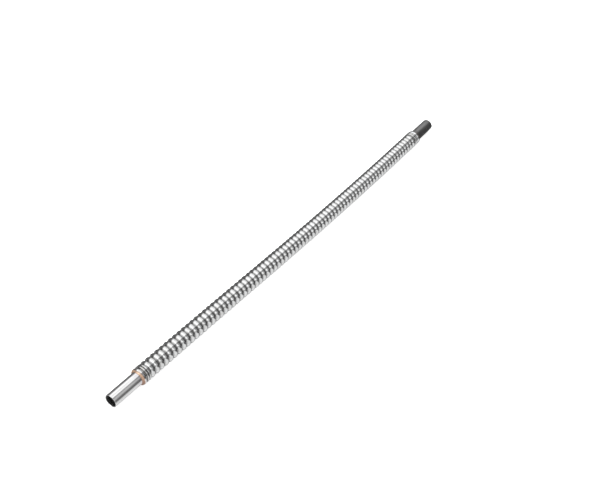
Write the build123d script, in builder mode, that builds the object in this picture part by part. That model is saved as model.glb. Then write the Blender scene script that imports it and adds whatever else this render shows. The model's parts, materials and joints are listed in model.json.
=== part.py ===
"""Corrugated metal hose assembly with a plain tube stub brazed into each end.

The hose lies on a level surface in its relaxed, slightly bent shape. Z is up, X runs along the
chord from the near mouth to the far mouth, and the origin is the centre of the outline on that
surface. The hose is cut into short spans that meet at its roots, so that it can bend: every span
is straight, and each root between two spans is a hinge. Its convolutions have straight flanks and
bevelled crests, which stand for the rounded ones of a formed hose.
"""
import os
from math import atan2, cos, degrees, radians, sin

from build123d import *

# Hose, in mm
CREST_R = 8.4  # outside of the convolutions
BORE_R = 6.1  # clear bore inside the roots
HOSE_WALL = 0.3
PITCH = 5.85  # crest to crest
CONVOLUTIONS = 77
CREST_WIDTH = 3.7  # across the crest, bevels included
ROOT_LAND = 0.9  # flat at the bottom of each root
CREST_BEVEL = 0.85

# Squeezed convolutions beside each collar
TIGHT_PITCH = 2.4
TIGHT_WIDTH = 1.4
TIGHT_LAND = 0.5
TIGHT_BEVEL = 0.4
TIGHT_COUNT = 2
TIGHT_LEAD = 0.65  # plain root between them and the even convolutions
HOSE_LIP = 0.8  # plain root against the collar

# Tube stub, collar and braze
STUB_R = 6.35
STUB_WALL = 0.75
STUB_OUT = 33.5  # mouth to the collar's front face
MOUTH_CHAMFER = 0.25
BORE_CHAMFER = 0.15
SPIGOT_R = 6.15  # leaves the capillary gap in the collar
COLLAR_R = 8.3
COLLAR_LENGTH = 3.3
COLLAR_LIP = 0.5  # stops the stub inside the collar
COLLAR_CHAMFER = 0.35
BRAZE_LENGTH = 1.7
BRAZE_TOP_R = 8.1
BRAZE_EDGE = 0.15
BRAZE_HOLLOW_R = 5.1  # of the fillet's hollow face

# Spans and bends
END_CONVOLUTIONS = 4  # even convolutions on each end span
SPAN_CONVOLUTIONS = 3
HINGE_GAP = 0.95  # the wall stops this far from a hinge's plane
RIGHT_BEND = 0.65  # degrees, over the first hinges
LEFT_BEND = 2.5  # degrees, over the others
RIGHT_HINGES = 8

SPANS = (CONVOLUTIONS - 2 * END_CONVOLUTIONS) // SPAN_CONVOLUTIONS + 2
HINGES = SPANS - 1
HOSE_START = STUB_OUT + COLLAR_LENGTH
EVEN_START = HOSE_START + HOSE_LIP + TIGHT_COUNT * TIGHT_PITCH + TIGHT_LEAD
END_LENGTH = EVEN_START + END_CONVOLUTIONS * PITCH
SPAN_LENGTH = SPAN_CONVOLUTIONS * PITCH


def rest_headings():
    """The heading of each span in degrees, counted from the near end's own."""
    headings = [0.0]
    for hinge in range(HINGES):
        turn = -RIGHT_BEND / RIGHT_HINGES
        if hinge >= RIGHT_HINGES:
            turn = LEFT_BEND / (HINGES - RIGHT_HINGES)
        headings.append(headings[-1] + turn)
    return headings


def rest_line(headings):
    """The axis through the near mouth, every hinge and the far mouth."""
    lengths = [END_LENGTH] + [SPAN_LENGTH] * (SPANS - 2) + [END_LENGTH]
    points = [Vector(0, 0, CREST_R)]
    for length, heading in zip(lengths, headings):
        step = Vector(cos(radians(heading)), sin(radians(heading)), 0)
        points.append(points[-1] + step * length)
    return points


def level_rest():
    """Headings and axis points with X along the chord and the outline centred on the origin."""
    headings = rest_headings()
    chord = rest_line(headings)[-1]
    chord_heading = degrees(atan2(chord.Y, chord.X))
    headings = [heading - chord_heading for heading in headings]
    points = rest_line(headings)
    sides = [point.Y for point in points]
    middle = Vector(points[-1].X / 2, (min(sides) + max(sides)) / 2, 0)
    return headings, [point - middle for point in points]


def along_plane(origin, heading):
    """A plane with its x along the hose and its y up."""
    turn = radians(heading)
    return Plane(origin=origin, x_dir=(cos(turn), sin(turn), 0), z_dir=(sin(turn), -cos(turn), 0))


def hose_axis(plane):
    return Axis(plane.origin, plane.x_dir)


def convolutions(start, count, pitch, root_land, crest_width, bevel):
    """Outline of the outside of several equal convolutions, each with a flat root and a bevelled crest."""
    rising = [
        (root_land / 2, BORE_R + HOSE_WALL),
        ((pitch - crest_width) / 2, CREST_R - bevel),
        ((pitch - crest_width) / 2 + bevel, CREST_R),
    ]
    falling = [(pitch - x, y) for x, y in reversed(rising)]
    return [(start + turn * pitch + x, y) for turn in range(count) for x, y in rising + falling]


def even_convolutions(start, count):
    return convolutions(start, count, PITCH, ROOT_LAND, CREST_WIDTH, CREST_BEVEL)


def tight_convolutions(start):
    return convolutions(start, TIGHT_COUNT, TIGHT_PITCH, TIGHT_LAND, TIGHT_WIDTH, TIGHT_BEVEL)


def save(builder, name):
    builder.part.label = name
    export_step(builder.part, f"parts/{name}.step")


def tube_stub(plane, name):
    """Plain round tube: its mouth is at x = 0, and its spigot ends against the collar's lip."""
    tip = HOSE_START - COLLAR_LIP
    joint = STUB_OUT - BRAZE_LENGTH
    bore = STUB_R - STUB_WALL
    with BuildPart() as stub:
        with BuildSketch(plane):
            with BuildLine():
                Polyline(
                    (0, bore + BORE_CHAMFER),
                    (0, STUB_R - MOUTH_CHAMFER),
                    (MOUTH_CHAMFER, STUB_R),
                    (joint, STUB_R),
                    (joint, SPIGOT_R),
                    (tip, SPIGOT_R),
                    (tip, bore),
                    (BORE_CHAMFER, bore),
                    close=True,
                )
            make_face()
        revolve(axis=hose_axis(plane))
    save(stub, name)


def end_collar(plane, name):
    """Ring that the stub is brazed into and the hose is welded to, with a lip that stops the stub."""
    lip = HOSE_START - COLLAR_LIP
    with BuildPart() as collar:
        with BuildSketch(plane):
            with BuildLine():
                Polyline(
                    (STUB_OUT, STUB_R),
                    (STUB_OUT, COLLAR_R - COLLAR_CHAMFER),
                    (STUB_OUT + COLLAR_CHAMFER, COLLAR_R),
                    (HOSE_START - COLLAR_CHAMFER, COLLAR_R),
                    (HOSE_START, COLLAR_R - COLLAR_CHAMFER),
                    (HOSE_START, BORE_R),
                    (lip, BORE_R),
                    (lip, STUB_R),
                    close=True,
                )
            make_face()
        revolve(axis=hose_axis(plane))
    save(collar, name)


def braze_ring(plane, name):
    """Copper fillet between the stub and the collar's front face."""
    toe = STUB_OUT - BRAZE_LENGTH
    with BuildPart() as ring:
        with BuildSketch(plane):
            with BuildLine():
                heel = (STUB_OUT - BRAZE_EDGE, BRAZE_TOP_R)
                edge = (toe, STUB_R + BRAZE_EDGE)
                Polyline(edge, (toe, SPIGOT_R), (STUB_OUT, SPIGOT_R), (STUB_OUT, BRAZE_TOP_R), heel)
                RadiusArc(edge, heel, BRAZE_HOLLOW_R)
            make_face()
        revolve(axis=hose_axis(plane))
    save(ring, name)


def hose_span(plane, name, outline, keep_from, keep_to):
    """The hose's wall under the given outline, kept between two stations."""
    low = BORE_R + HOSE_WALL
    start = min(keep_from, outline[0][0] - ROOT_LAND / 2)
    end = max(keep_to, outline[-1][0] + ROOT_LAND / 2)
    with BuildPart() as span:
        with BuildSketch(plane):
            with BuildLine():
                Polyline((start, low), *outline, (end, low))
                offset(amount=HOSE_WALL, side=Side.RIGHT, kind=Kind.INTERSECTION)
            make_face()
            with Locations(((keep_from + keep_to) / 2, CREST_R / 2)):
                Rectangle(keep_to - keep_from, 2 * CREST_R, mode=Mode.INTERSECT)
        revolve(axis=hose_axis(plane))
    save(span, name)


def end_span(plane, name):
    """Hose from the collar to the first hinge, squeezed convolutions included."""
    outline = tight_convolutions(HOSE_START + HOSE_LIP)
    outline += even_convolutions(EVEN_START, END_CONVOLUTIONS)
    hose_span(plane, name, outline, HOSE_START, END_LENGTH - HINGE_GAP)


def middle_span(plane, name):
    """Hose between two hinges."""
    outline = even_convolutions(0, SPAN_CONVOLUTIONS)
    hose_span(plane, name, outline, HINGE_GAP, SPAN_LENGTH - HINGE_GAP)


def hose_end(plane, side, span_number):
    tube_stub(plane, f"{side}_tube_stub")
    end_collar(plane, f"{side}_end_collar")
    braze_ring(plane, f"{side}_braze_ring")
    end_span(plane, f"hose_span_{span_number:02d}")


def main():
    os.makedirs("parts", exist_ok=True)
    headings, points = level_rest()
    hose_end(along_plane(points[0], headings[0]), "near", 1)
    for number in range(1, SPANS - 1):
        plane = along_plane(points[number], headings[number])
        middle_span(plane, f"hose_span_{number + 1:02d}")
    hose_end(along_plane(points[-1], headings[-1] + 180), "far", SPANS)


main()
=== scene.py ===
"""Looks for a corrugated metal hose assembly: one skin over the hinged spans, two tube stubs,
their collars and their braze rings, on a pale floor under soft studio light."""

import json
from math import asin, atan2, cos, hypot, pi, radians, sin

import bmesh
import bpy
import numpy as np
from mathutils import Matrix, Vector, noise

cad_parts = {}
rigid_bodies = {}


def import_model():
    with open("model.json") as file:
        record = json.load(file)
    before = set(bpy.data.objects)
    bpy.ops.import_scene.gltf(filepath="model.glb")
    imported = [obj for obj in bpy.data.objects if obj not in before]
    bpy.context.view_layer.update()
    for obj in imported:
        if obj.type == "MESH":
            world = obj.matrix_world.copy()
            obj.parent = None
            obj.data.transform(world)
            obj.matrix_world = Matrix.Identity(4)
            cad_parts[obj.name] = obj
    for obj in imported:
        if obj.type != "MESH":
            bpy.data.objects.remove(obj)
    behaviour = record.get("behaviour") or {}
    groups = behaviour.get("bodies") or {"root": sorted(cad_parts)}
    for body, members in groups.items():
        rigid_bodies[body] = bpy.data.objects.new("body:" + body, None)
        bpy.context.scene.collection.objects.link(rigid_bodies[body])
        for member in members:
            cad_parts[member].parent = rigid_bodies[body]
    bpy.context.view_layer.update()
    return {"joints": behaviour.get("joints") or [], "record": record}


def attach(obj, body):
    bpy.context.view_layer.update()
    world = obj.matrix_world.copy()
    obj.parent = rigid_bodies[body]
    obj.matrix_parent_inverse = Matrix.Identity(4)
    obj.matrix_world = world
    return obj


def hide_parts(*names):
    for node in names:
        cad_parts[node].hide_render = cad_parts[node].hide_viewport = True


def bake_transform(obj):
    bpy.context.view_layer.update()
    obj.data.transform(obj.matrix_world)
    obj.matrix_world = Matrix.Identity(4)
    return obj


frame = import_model()

MM = 0.001

# Hose profile, in mm: the CAD spans' sizes, with rounded crests and roots
CREST_R = 8.4
BORE_R = 6.1
WALL = 0.3
PITCH = 5.85
CREST_ARC = 1.8
ROOT_ARC = 0.8
TIGHT_PITCH = 2.4
TIGHT_CREST_ARC = 0.7
TIGHT_ROOT_ARC = 0.5
TIGHT_COUNT = 2
TIGHT_LEAD = 0.65
HOSE_LIP = 0.8
END_CONVOLUTIONS = 4

# Each skin's two sides are listed from its far body first, and this one's from its near body
# first. Rounding tears some skins at some poses; this choice was found by trying both orders,
# so other poses may still tear.
NEAR_FIRST = 23

# Ends, in mm
STUB_R = 6.35
STUB_OUT = 33.5
COLLAR_R = 8.3
COLLAR_LENGTH = 3.3
COLLAR_LIP = 0.5  # from the spigot's tip to the collar's end
STUB_WALL = 0.75
SPIGOT_R = 6.15
SPIGOT_STEP = 0.1
MOUTH_ROUND = 0.28
BORE_ROUND = 0.42
COLLAR_FRONT_ROUND = 1.0
COLLAR_BACK_ROUND = 1.5
COLLAR_RECESS = 0.3  # its front face starts this far out from the stub
FIT_GAP = 0.02
BRAZE_LENGTH = 1.7
BRAZE_TOP_R = 8.1
BRAZE_BACK = 0.35  # under the collar's rounded edge
BRAZE_UNDER = 0.12  # from its crown up to the radius given above
BRAZE_SINK = 0.02  # into the stub
BRAZE_LIFT = 0.03  # of its toe above the stub
TOE = 0.34  # as a share of the CAD fillet's length
TOE_WOBBLE = 0.12
CROWN_WOBBLE = 0.1
HOLLOW = 0.9  # exponent of the fillet's hollow

SIDES = 96  # facets round the outside
BORE_SIDES = 48
ARC_STEPS = 10  # facets along half a crest
ROOT_STEPS = 6
TUBE_ROWS = (0.25, 0.5, 0.75, 1.0)  # where a stub's rows of points lie, as shares of its length
BRAZE_SIDES = 144
BRAZE_STEPS = 12

# Room light, by the direction (x, y, z) that it comes from. A pair is where a patch of light starts
# and where it is full, along x, y, z or the patch's own axis.
DARK_LEVEL = 0.07
BACK_WALL = (0.0, 0.2)  # along y
BACK_LEVEL = 0.16
FRONT = (0.0, -0.2)  # along y, of the wall and the panel in front
TOP_RIGHT = (-0.984, 0.18, 1.0)  # axes of the softbox overhead
TOP_RIGHT_BLUR = (-0.3, 0.3)
TOP_FRONT = (0.07, 1.0, 0.38)
TOP_FRONT_BLUR = (-0.07, 0.05)
TOP_BACK_BLUR = (0.8, 0.55)  # along y
TOP_LEVEL = 1.6
TOP_SIDE = (-0.7, -0.3)  # along x, where it dims
TOP_SIDE_LEVEL = 0.7  # as a share of its full level
FILL_SIDE = (-0.5, -0.7)  # along x, of the low panel in front
FILL_LOW = (0.0, 0.12)  # along z
FILL_HIGH = (0.42, 0.3)
FILL_LEVEL = 1.4
DIM_SIDE = (0.58, 0.46)  # along x, of the wall in front
DIM_RISE = (0.12, 0.4)  # along z, from its low level to its full one
DIM_LOW_LEVEL = 0.15
DIM_LEVEL = 0.48
DIM_TOP = (0.6, 0.74)  # along z, where it dims again
DIM_TOP_LEVEL = 0.32
FLOOR = (-0.22, 0.0, -1.0)  # axis of the floor's light
FLOOR_BLUR = (0.16, 0.34)
FLOOR_SIDE = (0.66, 0.5)  # along x
FLOOR_BACK = (0.3, -0.1)  # along y
FLOOR_LEVEL = 1.0
FLOOR_RIGHT = (0.1, 0.4)  # along x, where it dims
FLOOR_RIGHT_LEVEL = 0.74
AWAY_SIDE = (0.1, -0.2)  # along x, of the shaded floor beyond the near end
AWAY_LEVEL = 0.45

# Colours, and sizes in the materials; GRAIN and RIPPLE are heights of bump in metres
GRAIN = 0.00001
RIPPLE = 0.00004
PAINTED_SHADE_R = 7.3  # the hose's colour darkens with painted shade from here down to its roots, in mm
NEAR_HEAT = 6.0  # how far the brazing's heat tint runs along the hose, in mm
FAR_HEAT = 9.0
HEAT_BROWN = (0.5, 0.42, 0.34, 1.0)
NEAR_TINT = (0.6, 0.56, 0.62, 1.0)
FAR_TINT = (0.16, 0.15, 0.15, 1.0)
COPPER_WASH = (0.62, 0.36, 0.22, 1.0)
WASH_LENGTH = 0.0012  # how far the copper wash runs over a collar's front edge, in metres
WASH_FULL = 0.0001
COPPER_BRIGHT = (1.0, 0.7, 0.49, 1.0)
COPPER_BROWN = (0.78, 0.48, 0.32, 1.0)
# painted shade for the copper's underside and painted light for its top
COPPER_PAINTED_SHADE = (0.5, 0.31, 0.23, 1.0)
COPPER_PAINTED_LIGHT = (0.56, 0.46, 0.39, 1.0)
PAINTED_SHADE_HEIGHTS = (0.0128, 0.0085)  # heights where the painted shade below and the painted light above start and are full, in metres
PAINTED_LIGHT_HEIGHTS = (0.0148, 0.0161)
STUB_HEAT = 0.01  # how far the heat tint runs along a stub, in metres
PAPER = 0.85
PAPER_ROUGH = 0.9
PAPER_GLOW = 0.6

# Camera (its turn in degrees), and lamps as (name, place, size, watts), in metres
LENS = 59.65
CAMERA_FROM_MOUTH = (-0.3747, -0.4574, 0.6199)
CAMERA_TURN = (51.8, 0.0, -54.865)
FLOOR_HALF = 4.0
LAMPS = (
    ("key", (-0.3, -0.5, 1.3), (1.6, 1.2), 18),
    ("back", (0.5, 0.9, 1.1), (1.4, 0.8), 9),
)

joints = frame["joints"]
hinges = [Vector(joint["pos_m"]) for joint in joints]
bodies = [joints[0]["parent"]] + [joint["child"] for joint in joints]
mounts = {mount["name"]: mount for mount in frame["record"]["mounts"]}
EVEN_START = STUB_OUT + COLLAR_LENGTH + HOSE_LIP + TIGHT_COUNT * TIGHT_PITCH + TIGHT_LEAD
END_LENGTH = EVEN_START + END_CONVOLUTIONS * PITCH


# ---------------------------------------------------------------- the hose's axis

def outward(name):
    return Vector(mounts[name]["axis"]).normalized()


near_mouth = hinges[0] + outward("near_stub_outside") * END_LENGTH * MM
far_mouth = hinges[-1] + outward("far_stub_outside") * END_LENGTH * MM
knots = [near_mouth] + hinges + [far_mouth]
stations = [0.0]
for here, there in zip(knots, knots[1:]):
    stations.append(stations[-1] + (there - here).length / MM)
LENGTH = stations[-1]
headings = [atan2((b - a).y, (b - a).x) for a, b in zip(knots, knots[1:])]
middles = [(a + b) / 2 for a, b in zip(stations, stations[1:])]


def axis_at(station):
    """Points in metres and headings on the hose's axis, at stations in mm from the near mouth."""
    xyz = [np.interp(station, stations, [knot[i] for knot in knots]) for i in range(3)]
    return np.stack(xyz, -1), np.interp(station, middles, headings)


# ---------------------------------------------------------------- the corrugated wall

def arc(centre, radius, start, turn, steps):
    angles = np.radians(np.linspace(start, start + turn, steps + 1))
    return [(centre[0] + radius * cos(a), centre[1] + radius * sin(a)) for a in angles]


def convolution(start, half_pitch, crest_arc, root_arc, out):
    """Profile points of one convolution, root to root, a distance out from the wall's middle."""
    low = BORE_R + WALL / 2
    high = CREST_R - WALL / 2
    rise = high - low - crest_arc - root_arc
    reach = hypot(half_pitch, rise)
    flank = np.degrees(atan2(rise, half_pitch) + asin((crest_arc + root_arc) / reach))
    root = root_arc - out
    crest = crest_arc + out
    middle = start + half_pitch
    points = arc((start, low + root_arc), root, -90, flank, ROOT_STEPS)
    points += arc((middle, high - crest_arc), crest, 90 + flank, -2 * flank, 2 * ARC_STEPS)
    points += arc((start + 2 * half_pitch, low + root_arc), root, -90 - flank, flank, ROOT_STEPS)
    return points


def wall_profile(out):
    """The whole hose's profile from collar to collar, as (station, radius)."""
    low = BORE_R + WALL / 2 + out
    start = STUB_OUT + COLLAR_LENGTH
    even = round((LENGTH - 2 * EVEN_START) / PITCH)
    tight = [start + HOSE_LIP + i * TIGHT_PITCH for i in range(TIGHT_COUNT)]
    points = [(start, low)]
    for root in tight:
        points += convolution(root, TIGHT_PITCH / 2, TIGHT_CREST_ARC, TIGHT_ROOT_ARC, out)
    for i in range(even):
        points += convolution(EVEN_START + i * PITCH, PITCH / 2, CREST_ARC, ROOT_ARC, out)
    for root in reversed(tight):
        mirrored = LENGTH - root - TIGHT_PITCH
        points += convolution(mirrored, TIGHT_PITCH / 2, TIGHT_CREST_ARC, TIGHT_ROOT_ARC, out)
    points.append((LENGTH - start, low))
    kept = [points[0]]
    for point in points[1:]:
        if hypot(point[0] - kept[-1][0], point[1] - kept[-1][1]) > 1e-4:
            kept.append(point)
    return np.array(kept)


def rings(profile, sides):
    """Mesh points, in metres, of a profile turned about the hose's axis, a row per point of it."""
    centre, heading = axis_at(profile[:, 0])
    side = np.stack([-np.sin(heading), np.cos(heading), 0 * heading], -1)
    turn = np.arange(sides) * 2 * pi / sides
    up = np.array([0.0, 0.0, 1.0])
    spoke = np.cos(turn)[None, :, None] * up + np.sin(turn)[None, :, None] * side[:, None, :]
    return centre[:, None, :] + profile[:, 1][:, None, None] * MM * spoke


def tube_mesh(name, outer, inner):
    """A closed tube wall: its outside and inside grids, joined by a rim at each end."""
    mesh = bmesh.new()

    def grid(rows):
        return [[mesh.verts.new(p) for p in row] for row in rows]

    def skin(lower, upper, flip):
        count = len(lower)
        for i in range(count):
            j = (i + 1) % count
            corners = [lower[i], lower[j], upper[j], upper[i]]
            mesh.faces.new(corners[::-1] if flip else corners)

    outside = grid(outer)
    inside = grid(inner)
    for a, b in zip(outside, outside[1:]):
        skin(a, b, True)
    for a, b in zip(inside, inside[1:]):
        skin(a, b, False)
    rim(mesh, outside[0], inside[0], False)
    rim(mesh, outside[-1], inside[-1], True)
    bmesh.ops.recalc_face_normals(mesh, faces=mesh.faces)
    return finished(name, mesh)


def rim(mesh, outside, inside, flip):
    """An end ring between two loops, the outer with a whole number of times as many points."""
    ratio = len(outside) // len(inside)
    for i in range(len(inside)):
        fan = [outside[(i * ratio + k) % len(outside)] for k in range(ratio + 1)]
        corners = fan + [inside[(i + 1) % len(inside)], inside[i]]
        mesh.faces.new(corners[::-1] if flip else corners)


def finished(name, mesh):
    data = bpy.data.meshes.new(name)
    mesh.to_mesh(data)
    mesh.free()
    data.polygons.foreach_set("use_smooth", [True] * len(data.polygons))
    thing = bpy.data.objects.new(name, data)
    bpy.context.scene.collection.objects.link(thing)
    return thing


def between(profile, low, high):
    """The part of a profile between two stations, cut exactly there."""
    inner = profile[(profile[:, 0] > low + 1e-6) & (profile[:, 0] < high - 1e-6)]
    ends = [(s, np.interp(s, profile[:, 0], profile[:, 1])) for s in (low, high)]
    return np.array([ends[0], *inner, ends[1]])


# ---------------------------------------------------------------- materials

class Shader:
    """A material made node by node; an input can be a number, a colour or a socket."""

    def __init__(self, name):
        self.material = bpy.data.materials.new(name)
        self.material.use_nodes = True
        self.tree = self.material.node_tree
        self.surface = self.tree.nodes["Principled BSDF"]

    def add(self, kind, inputs=None, **settings):
        node = self.tree.nodes.new(kind)
        for key, value in settings.items():
            setattr(node, key, value)
        self.fill(node, inputs or {})
        return node

    def fill(self, node, inputs):
        for key, value in inputs.items():
            if isinstance(value, bpy.types.NodeSocket):
                self.tree.links.new(value, node.inputs[key])
            else:
                node.inputs[key].default_value = value

    def noise(self, vector, stretch, scale, detail=4.0, roughness=0.55):
        """Noise in 0 to 1 over a stretched vector."""
        moved = self.add("ShaderNodeVectorMath", {0: vector, 1: stretch}, operation="MULTIPLY")
        field = self.add(
            "ShaderNodeTexNoise",
            {"Vector": moved.outputs[0], "Scale": scale, "Detail": detail, "Roughness": roughness},
        )
        return field.outputs[0]

    def spread(self, value, low, high, to_low=0.0, to_high=1.0):
        """Maps low..high to to_low..to_high, clamped."""
        node = self.add(
            "ShaderNodeMapRange",
            {0: value, 1: low, 2: high, 3: to_low, 4: to_high},
            interpolation_type="SMOOTHSTEP",
        )
        return node.outputs[0]

    def times(self, a, b):
        return self.add("ShaderNodeMath", {0: a, 1: b}, operation="MULTIPLY").outputs[0]

    def plus(self, a, b):
        return self.add("ShaderNodeMath", {0: a, 1: b}, operation="ADD").outputs[0]

    def blend(self, amount, a, b):
        """Colour a where amount is 0, colour b where it is 1."""
        node = self.add("ShaderNodeMix", {0: amount, 6: a, 7: b}, data_type="RGBA")
        return node.outputs[2]

    def bump(self, height, distance, strength):
        inputs = {"Height": height, "Distance": distance, "Strength": strength}
        return self.add("ShaderNodeBump", inputs).outputs[0]

    def from_middle(self, place):
        """Distance along x from the hose's middle."""
        along = self.add("ShaderNodeSeparateXYZ", {0: place}).outputs[0]
        return self.add("ShaderNodeMath", {0: along}, operation="ABSOLUTE").outputs[0]

    def metal(self, colour, rough, fine):
        """Finishes the material as bare metal."""
        inputs = {"Base Color": colour, "Metallic": 1.0, "Roughness": rough, "Normal": fine}
        self.fill(self.surface, inputs)
        return self.material


def grey(level, red=1.0, blue=1.0):
    return (level * red, level, level * blue, 1.0)


def hose_steel():
    """Polished stainless strip rolled into rings: fine lines round it, rougher in its roots and
    darkened there with painted shade.
    """
    shader = Shader("hose_steel_polished")
    rest = shader.add("ShaderNodeAttribute", attribute_name="rest_mm").outputs["Vector"]
    parts = shader.add("ShaderNodeSeparateXYZ", {0: rest})
    radial = shader.add("ShaderNodeVectorMath", {0: rest, 1: (0, 1, 1)}, operation="MULTIPLY")
    length = shader.add("ShaderNodeVectorMath", {0: radial.outputs[0]}, operation="LENGTH")
    # painted shade: a mask for darkening the steel's colour towards the roots of the convolutions
    root = shader.spread(length.outputs[1], PAINTED_SHADE_R, BORE_R + WALL + 0.1)
    cloud = shader.noise(rest, (1, 1, 1), 0.35, detail=5.0)
    lines = shader.noise(rest, (9, 0.35, 0.35), 1.0, detail=3.0)
    patches = shader.spread(cloud, 0.35, 0.7)
    steel = shader.blend(patches, grey(0.72, 0.99, 1.01), grey(0.62, 1.0, 0.99))
    # the roots' painted shade, a dark grey blended into the steel
    steel = shader.blend(shader.times(root, 0.5), steel, grey(0.2, 1.02, 0.98))
    edge = STUB_OUT + COLLAR_LENGTH
    ends = [
        shader.spread(parts.outputs[0], edge + NEAR_HEAT, edge),
        shader.spread(parts.outputs[0], LENGTH - edge - FAR_HEAT, LENGTH - STUB_OUT),
    ]
    heat = shader.times(shader.plus(*ends), shader.spread(cloud, 0.3, 0.6, 0.02, 0.16))
    steel = shader.blend(heat, steel, HEAT_BROWN)
    rough = shader.plus(shader.spread(cloud, 0.3, 0.75, 0.06, 0.12), shader.times(root, 0.08))
    return shader.metal(steel, rough, shader.bump(lines, GRAIN, 0.5))


def drawn_tube(name, light, dark, rough_low, rough_high, tint):
    """Drawn steel tube: streaks along it, cloudy oxide and a heat tint towards the braze."""
    shader = Shader(name)
    place = shader.add("ShaderNodeTexCoord").outputs["Object"]
    streak = shader.noise(place, (14, 420, 420), 1.0, detail=4.0)
    cloud = shader.noise(place, (1, 1, 1), 110.0, detail=5.0)
    metal = shader.blend(shader.spread(streak, 0.36, 0.64), light, dark)
    metal = shader.blend(shader.spread(cloud, 0.45, 0.75, 0.0, 0.4), metal, dark)
    front = abs(near_mouth.x) - STUB_OUT * MM
    warm = shader.spread(shader.from_middle(place), front + STUB_HEAT, front, 0.0, 0.4)
    metal = shader.blend(warm, metal, tint)
    rough = shader.spread(shader.plus(streak, cloud), 0.7, 1.3, rough_low, rough_high)
    return shader.metal(metal, rough, shader.bump(streak, GRAIN, 0.25))


def collar_steel():
    """Turned ring, mottled by the brazing flame and touched with copper at its front edge."""
    shader = Shader("collar_steel_heated")
    place = shader.add("ShaderNodeTexCoord").outputs["Object"]
    turned = shader.noise(place, (4200, 40, 40), 1.0, detail=2.0)
    cloud = shader.noise(place, (1, 1, 1), 260.0, detail=5.0)
    steel = shader.blend(shader.spread(cloud, 0.35, 0.65), grey(0.96), grey(0.72, 0.98, 1.03))
    front = abs(near_mouth.x) - STUB_OUT * MM
    wash = shader.times(
        shader.spread(shader.from_middle(place), front - WASH_LENGTH, front - WASH_FULL),
        shader.spread(cloud, 0.4, 0.62),
    )
    steel = shader.blend(wash, steel, COPPER_WASH)
    rough = shader.spread(cloud, 0.3, 0.7, 0.1, 0.22)
    return shader.metal(steel, rough, shader.bump(turned, GRAIN, 0.5))


def braze_copper():
    """Copper that flowed and froze: bright on its crown, brown with oxide in patches, browned with
    painted shade towards the bottom and greyed with painted light towards the top.
    """
    shader = Shader("braze_copper_flowed")
    place = shader.add("ShaderNodeTexCoord").outputs["Object"]
    cloud = shader.noise(place, (1, 1, 1), 330.0, detail=5.0)
    ripple = shader.noise(place, (1, 1, 1), 1400.0, detail=3.0)
    height = shader.add("ShaderNodeSeparateXYZ", {0: place}).outputs[2]
    # painted shade browns the copper towards the bottom, and painted light greys it towards the top
    below = shader.spread(height, *PAINTED_SHADE_HEIGHTS)
    painted_top_light = shader.spread(height, *PAINTED_LIGHT_HEIGHTS)
    copper = shader.blend(shader.spread(cloud, 0.42, 0.68), COPPER_BRIGHT, COPPER_BROWN)
    copper = shader.blend(below, copper, COPPER_PAINTED_SHADE)
    copper = shader.blend(painted_top_light, copper, COPPER_PAINTED_LIGHT)
    rough = shader.spread(cloud, 0.35, 0.7, 0.3, 0.5)
    return shader.metal(copper, rough, shader.bump(ripple, RIPPLE, 0.4))


def dress(thing, material):
    """Puts a material in every slot of an object."""
    if not thing.data.materials:
        thing.data.materials.append(material)
    for slot in thing.material_slots:
        slot.material = material


# ---------------------------------------------------------------- hose skin

def note_rest(piece, profiles, counts):
    """Stores each point's place on the straightened hose, in mm: station, y and z."""
    rows = []
    for profile, sides in zip(profiles, counts):
        turn = np.arange(sides) * 2 * pi / sides
        for station, radius in profile:
            place = [0 * turn + station, radius * np.sin(turn), radius * np.cos(turn)]
            rows.append(np.stack(place, 1))
    data = piece.data.attributes.new("rest_mm", "FLOAT_VECTOR", "POINT")
    data.data.foreach_set("vector", np.concatenate(rows).ravel())


def hose_skin(steel):
    """One closed wall between the collars, in pieces that meet at roots."""
    outer = wall_profile(WALL / 2)
    inner = wall_profile(-WALL / 2)
    edge = STUB_OUT + COLLAR_LENGTH
    cuts = [edge] + [hinge + PITCH for hinge in stations[1:-1]] + [LENGTH - edge]
    for number, (low, high) in enumerate(zip(cuts, cuts[1:])):
        profiles = between(outer, low, high), between(inner, low, high)
        name = f"hose_skin_{number + 1:02d}"
        piece = tube_mesh(name, rings(profiles[0], SIDES), rings(profiles[1], BORE_SIDES))
        note_rest(piece, profiles, (SIDES, BORE_SIDES))
        dress(piece, steel)
        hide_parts(f"hose_span_{number + 1:02d}")
        if number == len(hinges):
            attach(piece, bodies[-1])
            continue
        hinge = stations[number + 1]
        ends, _ = axis_at(np.array([hinge - PITCH, hinge + PITCH]))
        sides = [(bodies[number], tuple(ends[0])), (bodies[number + 1], tuple(ends[1]))]
        if number + 1 != NEAR_FIRST:
            sides.reverse()
        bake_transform(piece)


# ---------------------------------------------------------------- stubs and collars

def end_piece(side, name, node, profiles, steel):
    """A turned piece of one end; its profiles run from that end's mouth inwards."""
    grids = []
    for profile in profiles:
        profile = np.array(profile)
        if side == "far":
            profile[:, 0] = LENGTH - profile[:, 0]
        grids.append(rings(profile, SIDES))
    piece = tube_mesh(name, *grids)
    dress(piece, steel)
    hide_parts(node)
    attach(piece, bodies[0] if side == "near" else bodies[-1])


def stub_skin(side, steel):
    """Plain tube with rounded edges at its mouth; the collar hides its narrower spigot."""
    bore = STUB_R - STUB_WALL
    joint = STUB_OUT - BRAZE_LENGTH
    step = STUB_OUT + SPIGOT_STEP
    tip = STUB_OUT + COLLAR_LENGTH - COLLAR_LIP
    outer = arc((MOUTH_ROUND, STUB_R - MOUTH_ROUND), MOUTH_ROUND, 180, -90, ROOT_STEPS)
    outer += [(joint * share, STUB_R) for share in TUBE_ROWS]
    outer += [(STUB_OUT, STUB_R), (step, SPIGOT_R), (tip, SPIGOT_R)]
    inner = arc((BORE_ROUND, bore + BORE_ROUND), BORE_ROUND, 180, 90, ROOT_STEPS)
    inner += [(joint * share, bore) for share in TUBE_ROWS]
    inner += [(STUB_OUT, bore), (step, bore), (tip, bore)]
    end_piece(side, f"{side}_stub_skin", f"{side}_tube_stub", (outer, inner), steel)


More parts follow.
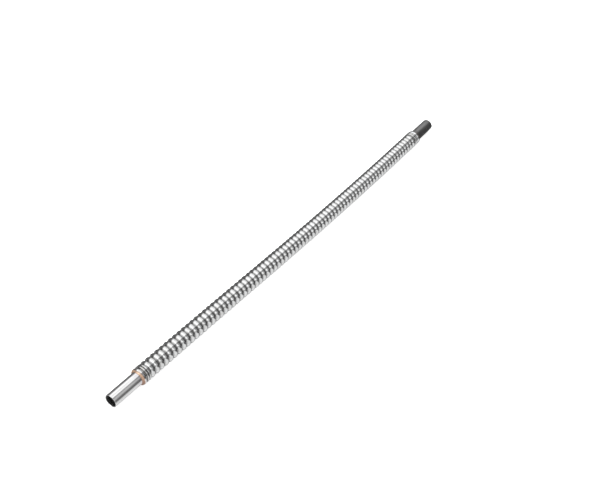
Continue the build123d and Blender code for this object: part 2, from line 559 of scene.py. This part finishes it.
def collar_skin(side, steel):
    """Short ring with a small round at its front edge and a large one against the hose."""
    end = STUB_OUT + COLLAR_LENGTH
    front = (STUB_OUT + COLLAR_FRONT_ROUND, COLLAR_R - COLLAR_FRONT_ROUND)
    back = (end - COLLAR_BACK_ROUND, COLLAR_R - COLLAR_BACK_ROUND)
    outer = [(STUB_OUT, STUB_R + COLLAR_RECESS)]
    outer += arc(front, COLLAR_FRONT_ROUND, 180, -90, ROOT_STEPS)
    outer += arc(back, COLLAR_BACK_ROUND, 90, -90, ARC_STEPS)
    outer.append((end, BORE_R + WALL))
    inner = [(STUB_OUT, STUB_R + FIT_GAP), (end, STUB_R + FIT_GAP)]
    profiles = (outer, inner)
    end_piece(side, f"{side}_collar_skin", f"{side}_end_collar", profiles, steel)


# ---------------------------------------------------------------- braze

def braze_section(around):
    """One section of the fillet, its toe and crown as uneven as the noise at this place."""
    wobble = noise.fractal(around, 0.9, 2.1, 3)
    toe = BRAZE_LENGTH * (TOE + TOE_WOBBLE * wobble)
    crown = BRAZE_TOP_R - STUB_R - BRAZE_UNDER + CROWN_WOBBLE * noise.noise(around * 2.3)
    section = []
    for step in range(BRAZE_STEPS + 1):
        angle = step / BRAZE_STEPS * pi / 2
        x = STUB_OUT - toe * (1 - sin(angle)) ** HOLLOW
        y = STUB_R + BRAZE_LIFT + crown * (1 - cos(angle)) ** HOLLOW
        section.append((x, y))
    back = STUB_OUT + BRAZE_BACK
    low = STUB_R - BRAZE_SINK
    return section + [(back, section[-1][1]), (back, low), (STUB_OUT - toe, low)]


def braze_bead(side, copper, seed):
    """A frozen copper fillet in the corner between stub and collar."""
    mesh = bmesh.new()
    offset = Vector((seed * 7.3, seed * 3.1, 0.0))
    grid = []
    for number in range(BRAZE_SIDES):
        turn = number * 2 * pi / BRAZE_SIDES
        around = Vector((cos(turn), sin(turn), 0)) * 1.6 + offset
        row = []
        for station, radius in braze_section(around):
            place = station if side == "near" else LENGTH - station
            centre, heading = axis_at(np.array([place]))
            spoke = Vector((-sin(heading[0]) * sin(turn), cos(heading[0]) * sin(turn), cos(turn)))
            row.append(mesh.verts.new(Vector(centre[0]) + spoke * radius * MM))
        grid.append(row)
    for row, after in zip(grid, grid[1:] + grid[:1]):
        count = len(row)
        for i in range(count):
            j = (i + 1) % count
            mesh.faces.new([row[i], row[j], after[j], after[i]])
    bmesh.ops.recalc_face_normals(mesh, faces=mesh.faces)
    piece = finished(f"{side}_braze_bead", mesh)
    dress(piece, copper)
    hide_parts(f"{side}_braze_ring")
    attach(piece, bodies[0] if side == "near" else bodies[-1])


# ---------------------------------------------------------------- studio

def camera():
    data = bpy.data.cameras.new("camera")
    data.sensor_width = 36.0
    data.lens = LENS
    thing = bpy.data.objects.new("camera", data)
    bpy.context.scene.collection.objects.link(thing)
    thing.location = near_mouth + Vector(CAMERA_FROM_MOUTH)
    thing.rotation_euler = [radians(angle) for angle in CAMERA_TURN]
    bpy.context.scene.camera = thing


def floor():
    mesh = bmesh.new()
    signs = ((-1, -1), (1, -1), (1, 1), (-1, 1))
    mesh.faces.new([mesh.verts.new((x * FLOOR_HALF, y * FLOOR_HALF, 0.0)) for x, y in signs])
    thing = finished("floor", mesh)
    made = bpy.data.materials.new("floor_paper")
    made.use_nodes = True
    surface = made.node_tree.nodes["Principled BSDF"]
    surface.inputs["Base Color"].default_value = grey(PAPER)
    surface.inputs["Roughness"].default_value = PAPER_ROUGH
    surface.inputs["Emission Color"].default_value = grey(1.0)
    surface.inputs["Emission Strength"].default_value = PAPER_GLOW
    dress(thing, made)
    thing.visible_glossy = False


def light(name, place, size, power):
    """A soft lamp that points at the origin and doesn't show in reflections."""
    data = bpy.data.lights.new(name, "AREA")
    data.shape = "RECTANGLE"
    data.size, data.size_y = size
    data.energy = power
    thing = bpy.data.objects.new(name, data)
    bpy.context.scene.collection.objects.link(thing)
    thing.location = place
    thing.rotation_euler = (-Vector(place)).to_track_quat("-Z", "Y").to_euler()
    thing.visible_glossy = False


def sky():
    """A softbox overhead, a lower panel in front and the pale floor, in an otherwise dark room."""
    world = bpy.data.worlds.new("studio")
    bpy.context.scene.world = world
    world.use_nodes = True
    tree = world.node_tree

    def fill(made, inputs):
        for number, value in enumerate(inputs):
            if isinstance(value, bpy.types.NodeSocket):
                tree.links.new(value, made.inputs[number])
            else:
                made.inputs[number].default_value = value

    def math(operation, *inputs):
        made = tree.nodes.new("ShaderNodeMath")
        made.operation = operation
        fill(made, inputs)
        return made.outputs[0]

    def along(axis):
        made = tree.nodes.new("ShaderNodeVectorMath")
        made.operation = "DOT_PRODUCT"
        fill(made, (direction, axis))
        return made.outputs["Value"]

    def step(value, low, high):
        made = tree.nodes.new("ShaderNodeMapRange")
        made.interpolation_type = "SMOOTHSTEP"
        fill(made, (value, low, high))
        return made.outputs[0]

    def both(a, b):
        return math("MULTIPLY", a, b)

    def lerp(amount, a, b):
        return math("ADD", both(math("SUBTRACT", b, a), amount), a)

    direction = tree.nodes.new("ShaderNodeTexCoord").outputs["Generated"]
    x, y, z = along((1, 0, 0)), along((0, 1, 0)), along((0, 0, 1))
    front = step(y, *FRONT)
    wall = lerp(step(z, *DIM_RISE), DIM_LOW_LEVEL, DIM_LEVEL)
    wall = lerp(step(z, *DIM_TOP), wall, DIM_TOP_LEVEL)
    level = lerp(step(y, *BACK_WALL), DARK_LEVEL, BACK_LEVEL)
    level = lerp(both(front, step(x, *DIM_SIDE)), level, wall)
    band = both(step(z, *FILL_LOW), step(z, *FILL_HIGH))
    panel = both(both(front, step(x, *FILL_SIDE)), band)
    level = lerp(panel, level, FILL_LEVEL)
    top = both(step(along(TOP_RIGHT), *TOP_RIGHT_BLUR), step(along(TOP_FRONT), *TOP_FRONT_BLUR))
    top = both(top, step(y, *TOP_BACK_BLUR))
    level = lerp(top, level, lerp(step(x, *TOP_SIDE), TOP_LEVEL, TOP_LEVEL * TOP_SIDE_LEVEL))
    below = step(along(FLOOR), *FLOOR_BLUR)
    level = lerp(both(below, step(x, *AWAY_SIDE)), level, AWAY_LEVEL)
    paper = both(both(below, step(y, *FLOOR_BACK)), step(x, *FLOOR_SIDE))
    level = lerp(paper, level, lerp(step(x, *FLOOR_RIGHT), FLOOR_LEVEL, FLOOR_RIGHT_LEVEL))
    tree.links.new(level, tree.nodes["Background"].inputs["Color"])


def studio():
    camera()
    floor()
    sky()
    for lamp in LAMPS:
        light(*lamp)
    bpy.context.scene.view_settings.view_transform = "Standard"


# ---------------------------------------------------------------- assembly

studio()
hose_skin(hose_steel())
copper = braze_copper()
braze_bead("near", copper, 1)
braze_bead("far", copper, 2)
near_steel = drawn_tube("stub_steel_drawn", grey(1.0), grey(0.8), 0.12, 0.2, NEAR_TINT)
far_steel = drawn_tube("far_stub_steel_oxidised", grey(0.48), grey(0.3), 0.34, 0.5, FAR_TINT)
stub_skin("near", near_steel)
stub_skin("far", far_steel)
collar = collar_steel()
collar_skin("near", collar)
collar_skin("far", collar)
